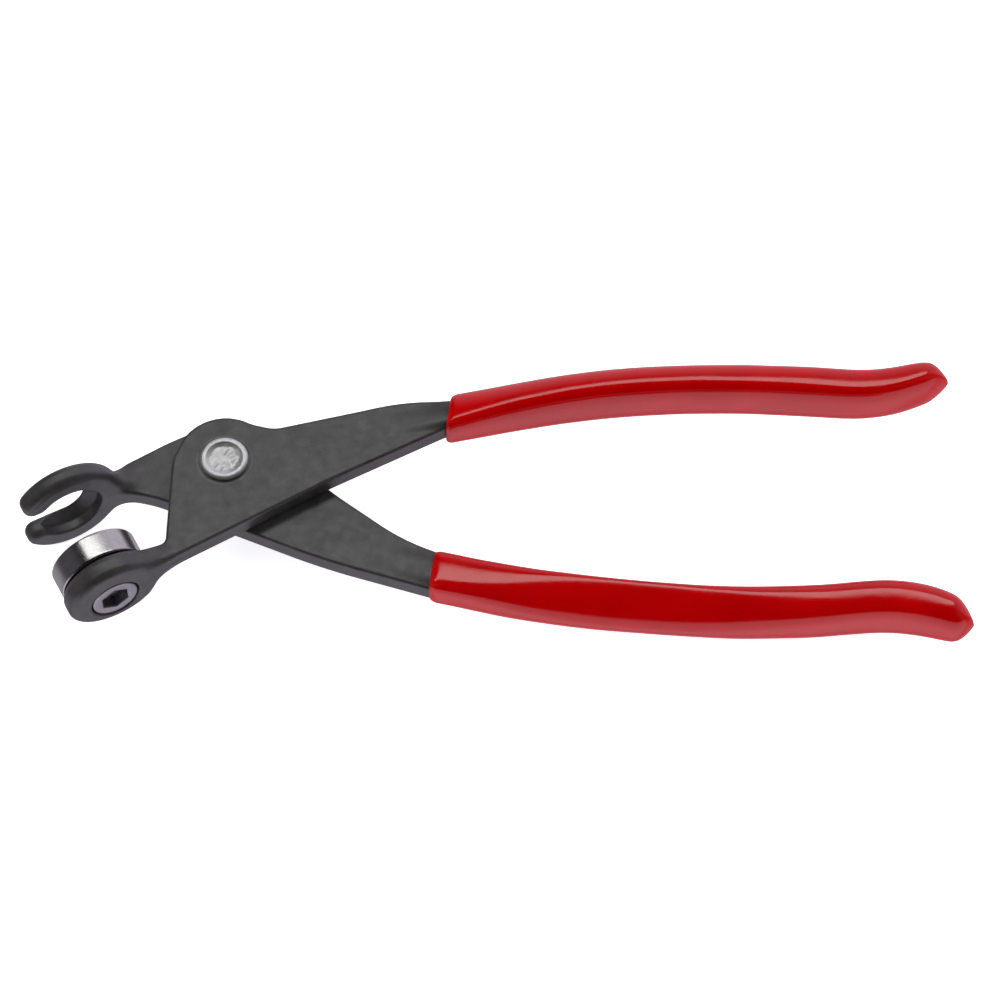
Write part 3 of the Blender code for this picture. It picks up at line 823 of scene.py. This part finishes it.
class Nodes:
    """Adds shader nodes to a tree."""

    def __init__(self, tree):
        self.tree = tree

    def node(self, kind, inputs=(), **settings):
        made = self.tree.nodes.new(kind)
        for key, value in settings.items():
            setattr(made, key, value)
        for key, value in dict(inputs).items():
            if isinstance(value, bpy.types.NodeSocket):
                self.tree.links.new(value, made.inputs[key])
            else:
                made.inputs[key].default_value = value
        return made

    def math(self, operation, a, b):
        return self.node("ShaderNodeMath", {0: a, 1: b}, operation=operation).outputs[0]

    def fade(self, value, start, end, high):
        """Rises smoothly from 0 to a level while a value goes from start to end."""
        inputs = {"Value": value, "From Min": start, "From Max": end, "To Min": 0.0, "To Max": high}
        return self.node("ShaderNodeMapRange", inputs, interpolation_type="SMOOTHSTEP").outputs[0]

    def mix(self, amount, a, b):
        made = self.node("ShaderNodeMix", data_type="RGBA")
        for key, value in (("Factor", amount), ("A", a), ("B", b)):
            socket = [s for s in made.inputs if s.name == key and s.enabled][0]
            if isinstance(value, bpy.types.NodeSocket):
                self.tree.links.new(value, socket)
            else:
                socket.default_value = value if key == "Factor" else (*value, 1.0)
        return [s for s in made.outputs if s.enabled][0]


class Paint(Nodes):
    """Builds one procedural material; positions are in millimetres in the object's frame."""

    def __init__(self, name, roughness, metallic, specular):
        self.material = bpy.data.materials.new(name)
        self.material.use_nodes = True
        super().__init__(self.material.node_tree)
        self.shader = self.tree.nodes["Principled BSDF"]
        self.shader.inputs["Metallic"].default_value = metallic
        self.shader.inputs["Roughness"].default_value = roughness
        self.shader.inputs["Specular IOR Level"].default_value = specular
        self.place = self.tree.nodes.new("ShaderNodeTexCoord").outputs["Object"]
        self.bump = None

    def mapped(self, scale, turn=(0, 0, 0)):
        """The position times a scale in features per millimetre, after a turn."""
        inputs = {"Vector": self.place, "Rotation": turn}
        turned = self.node("ShaderNodeMapping", inputs, vector_type="TEXTURE").outputs[0]
        per_metre = tuple(s / MM for s in scale)
        return self.node("ShaderNodeMapping", {"Vector": turned, "Scale": per_metre}).outputs[0]

    def noise(self, scale, detail=4.0, rough=0.55, turn=(0, 0, 0)):
        """Noise at a scale in features per millimetre, the same all ways or one for each axis."""
        scale = scale if isinstance(scale, tuple) else (scale,) * 3
        inputs = {"Vector": self.mapped(scale, turn), "Scale": 1.0}
        inputs.update({"Detail": detail, "Roughness": rough})
        return self.node("ShaderNodeTexNoise", inputs).outputs[0]

    def ramp(self, value, stops):
        """A value mapped through stops (position, grey level or colour)."""
        made = self.node("ShaderNodeValToRGB", {"Fac": value})
        elements = made.color_ramp.elements
        while len(elements) < len(stops):
            elements.new(0.5)
        for element, (position, level) in zip(elements, stops):
            element.position = position
            colour = level if isinstance(level, tuple) else (level,) * 3
            element.color = (*colour, 1.0)
        return made.outputs["Color"]

    def colour(self, socket):
        self.tree.links.new(socket, self.shader.inputs["Base Color"])

    def roughness(self, socket):
        self.tree.links.new(socket, self.shader.inputs["Roughness"])

    def relief(self, height, depth, strength=1.0):
        """Adds bump of a depth in millimetres."""
        inputs = {"Height": height, "Distance": depth * MM, "Strength": strength}
        if self.bump:
            inputs["Normal"] = self.bump
        self.bump = self.node("ShaderNodeBump", inputs).outputs[0]

    def done(self):
        """Connects the relief and hands over the material."""
        if self.bump:
            self.tree.links.new(self.bump, self.shader.inputs["Normal"])
        return self.material


OXIDE_DARK = (0.021, 0.0197, 0.0193)
OXIDE_LIGHT = (0.037, 0.0352, 0.0347)
OXIDE_FLECK = (0.05, 0.048, 0.046)
RUBBED_STEEL = (0.13, 0.125, 0.12)
RUBBED_RING_R = 7.75
ZINC = (0.86, 0.86, 0.85)
GROUND_STEEL = (0.66, 0.64, 0.635)
SCREW_STEEL = (0.46, 0.45, 0.47)
VINYL_DARK = (0.42, 0.0003, 0.0008)
VINYL_LIGHT = (0.5, 0.0005, 0.0014)
FLOOR_GLOW = (1.0, 0.99, 1.02)


def black_oxide(name, ring_mark=False):
    """Blackened forged steel: mottled, with small pale flecks and a fine pebbled skin."""
    paint = Paint(name, 0.4, 0.0, 1.0)
    base = paint.ramp(paint.noise(0.22, 6.0, 0.6), [(0.32, OXIDE_DARK), (0.68, OXIDE_LIGHT)])
    fleck = paint.ramp(paint.noise(1.3, 3.0, 0.7), [(0.6, 0.0), (0.78, 1.0)])
    base = paint.mix(paint.math("MULTIPLY", fleck, 0.25), base, OXIDE_FLECK)
    if ring_mark:
        base = ring_of_wear(paint, base)
    paint.colour(base)
    paint.roughness(paint.ramp(paint.noise(0.35, 5.0), [(0.3, 0.33), (0.7, 0.45)]))
    paint.relief(paint.noise(0.5, 3.0), 0.05, 0.6)
    paint.relief(paint.noise(1.5, 4.0, 0.65), 0.035, 0.5)
    return paint.done()


def ring_of_wear(paint, base):
    """A thin bright mark that the bolt's head has rubbed on the plate."""
    parts = paint.node("ShaderNodeSeparateXYZ", {"Vector": paint.mapped((1, 1, 1))})
    x, y = parts.outputs[0], parts.outputs[1]
    squares = paint.math("ADD", paint.math("MULTIPLY", x, x), paint.math("MULTIPLY", y, y))
    radius = paint.math("SQRT", squares, 0.0)
    off = paint.math("ABSOLUTE", paint.math("SUBTRACT", radius, RUBBED_RING_R), 0.0)
    line = paint.ramp(off, [(0.05, 1.0), (0.3, 0.0)])
    patchy = paint.ramp(paint.noise(0.12, 2.0), [(0.42, 0.0), (0.62, 0.6)])
    return paint.mix(paint.math("MULTIPLY", line, patchy), base, RUBBED_STEEL)


def bright_metal(name, colour, roughness, grain_scale, grain_turn=(0, 0, 0), metallic=1.0):
    """Bare or plated steel with fine grain, and roughness from a lowest to a highest value."""
    paint = Paint(name, 0.3, metallic, 0.5)
    shades = [(0.3, tuple(c * 0.86 for c in colour)), (0.7, colour)]
    paint.colour(paint.ramp(paint.noise(0.5, 4.0), shades))
    grain = paint.noise(grain_scale, 3.0, 0.6, grain_turn)
    low, high = roughness
    paint.roughness(paint.ramp(grain, [(0.25, low), (0.75, high)]))
    paint.relief(grain, 0.012, 0.4)
    return paint.done()


def red_vinyl():
    """Glossy dipped vinyl with slow changes of tone and a faint orange-peel skin."""
    paint = Paint("red_vinyl", 0.12, 0.0, 0.6)
    paint.colour(paint.ramp(paint.noise(0.05, 3.0), [(0.3, VINYL_DARK), (0.7, VINYL_LIGHT)]))
    paint.roughness(paint.ramp(paint.noise(0.3, 4.0), [(0.3, 0.09), (0.75, 0.15)]))
    paint.relief(paint.noise(0.16, 2.0, 0.4), 0.03, 0.3)
    paint.relief(paint.noise(1.4, 2.0), 0.003, 0.3)
    return paint.done()


# Studio


FRAMING = Vector((0.7, 0.4, 0.0)) * MM  # how far the camera aims past the middle of the tool
CAMERA_DISTANCE = 1.2
LENS = 154.2
KEY_OFFSET = (-0.14, 0.54, 1.07)
KEY_SIDE = (0.956, 0.294, 0.0)
KEY_SIZE = (1.35, 0.2)
KEY_WATTS = 2.4
FILL_OFFSET = (1.35, 0.1, 1.15)
FILL_SIZE = (2.4, 1.8)
FILL_WATTS = 26.0
SKY_TINT = (1.04, 0.98, 1.12)


def build_floor(aim):
    """Pale paper under the tool, kept out of the reflections and blocking no light."""
    bm = bmesh.new()
    bmesh.ops.create_grid(bm, x_segments=1, y_segments=1, size=3.0)
    mesh = bpy.data.meshes.new("floor")
    bm.to_mesh(mesh)
    bm.free()
    floor = bpy.data.objects.new("floor", mesh)
    floor.location = (aim.x, aim.y, CAD_BOX[0].z - 0.1 * MM)
    bpy.context.scene.collection.objects.link(floor)
    pale = Paint("floor_paper", 0.9, 0.0, 0.0)
    pale.colour(pale.ramp(pale.noise(0.01, 2.0), [(0.3, 0.92), (0.7, 0.94)]))
    pale.shader.inputs["Emission Color"].default_value = (*FLOOR_GLOW, 1.0)
    pale.shader.inputs["Emission Strength"].default_value = 0.8
    floor.data.materials.append(pale.done())
    floor.visible_glossy = False
    floor.visible_shadow = False


def softbox(name, aim, offset, side, size, watts, in_gloss):
    """A rectangular light at an offset from the aim, facing it, its long side along a direction."""
    light = bpy.data.lights.new(name, "AREA")
    light.shape = "RECTANGLE"
    light.size, light.size_y = size
    light.energy = watts
    back = Vector(offset).normalized()
    side = (Vector(side) - back * back.dot(Vector(side))).normalized()
    lamp = bpy.data.objects.new(name, light)
    lamp.matrix_world = Matrix((side, back.cross(side), back)).transposed().to_4x4()
    lamp.location = aim + Vector(offset)
    lamp.visible_glossy = in_gloss
    bpy.context.scene.collection.objects.link(lamp)


def build_sky():
    """The room as a glow from each direction: a wall behind, a low front and dim sides."""
    world = bpy.data.worlds.new("studio")
    world.use_nodes = True
    sky = Nodes(world.node_tree)
    toward = sky.node("ShaderNodeTexCoord").outputs["Generated"]
    x, y, z = sky.node("ShaderNodeSeparateXYZ", {"Vector": toward}).outputs
    wall = sky.fade(sky.math("ADD", y, sky.math("MULTIPLY", x, 0.5)), 0.5, 1.0, 0.6)
    below = sky.fade(z, -0.05, -0.6, 0.35)
    front = sky.math("MULTIPLY", sky.fade(y, -0.15, -0.5, 1.0), sky.fade(z, 0.1, -0.2, 0.75))
    sides = sky.fade(sky.math("MULTIPLY", x, x), 0.3, 0.8, 0.08)
    glow = wall
    for other in (below, front, sides):
        glow = sky.math("MAXIMUM", glow, other)
    tinted = sky.mix(glow, (0.0, 0.0, 0.0), SKY_TINT)
    sky.tree.links.new(tinted, sky.tree.nodes["Background"].inputs["Color"])
    bpy.context.scene.world = world


def build_camera(aim):
    """The camera at the photo's angle, above the tool and on the side of -Y."""
    scene = bpy.context.scene
    camera = bpy.data.objects.new("camera", bpy.data.cameras.new("camera"))
    scene.collection.objects.link(camera)
    across, up = VIEW
    camera.location = aim + Vector((0, -up, across)) * CAMERA_DISTANCE
    camera.rotation_euler = (camera.location - aim).to_track_quat("Z", "Y").to_euler()
    camera.data.sensor_width = 36.0
    camera.data.lens = LENS
    scene.camera = camera


def build_studio():
    """The floor, the lights, the room's glow and the camera."""
    low, high = CAD_BOX
    aim = Vector(((low.x + high.x) / 2, (low.y + high.y) / 2, LAP[2] * MM)) + FRAMING
    build_floor(aim)
    softbox("key", aim, KEY_OFFSET, KEY_SIDE, KEY_SIZE, KEY_WATTS, True)
    for name, way in (("fill_left", -1), ("fill_right", 1)):
        offset = (way * FILL_OFFSET[0], *FILL_OFFSET[1:])
        softbox(name, aim, offset, (0.0, 1.0, 0.0), FILL_SIZE, FILL_WATTS, False)
    build_sky()
    build_camera(aim)
    bpy.context.scene.view_settings.view_transform = "Standard"


def main():
    upper = sleeve_table("upper_grip", "front_lever", UPPER_SHAPE)
    lower = sleeve_table("lower_grip", "rear_lever", LOWER_SHAPE)
    oxide = black_oxide("black_oxide")
    marked_oxide = black_oxide("black_oxide_with_ring_mark", ring_mark=True)
    build_lever("front_lever", upper, front_field).data.materials.append(marked_oxide)
    build_lever("rear_lever", lower, rear_field).data.materials.append(oxide)

    vinyl = red_vinyl()
    build_sleeve("upper_grip", upper, MID).data.materials.append(vinyl)
    build_sleeve("lower_grip", lower, -MID).data.materials.append(vinyl)

    zinc = bright_metal("zinc_plate", ZINC, (0.38, 0.5), 1.6, metallic=0.88)
    build_bolt().data.materials.append(zinc)
    build_nut().data.materials.append(zinc)
    grinding = (0, 0, math.atan2(DISC_AXIS[1], DISC_AXIS[0]))
    ground = bright_metal("ground_steel", GROUND_STEEL, (0.2, 0.27), (9.0, 0.5, 0.5), grinding)
    build_disc().data.materials.append(ground)
    build_screw().data.materials.append(bright_metal("screw_steel", SCREW_STEEL, (0.26, 0.4), 2.2))
    build_studio()


main()
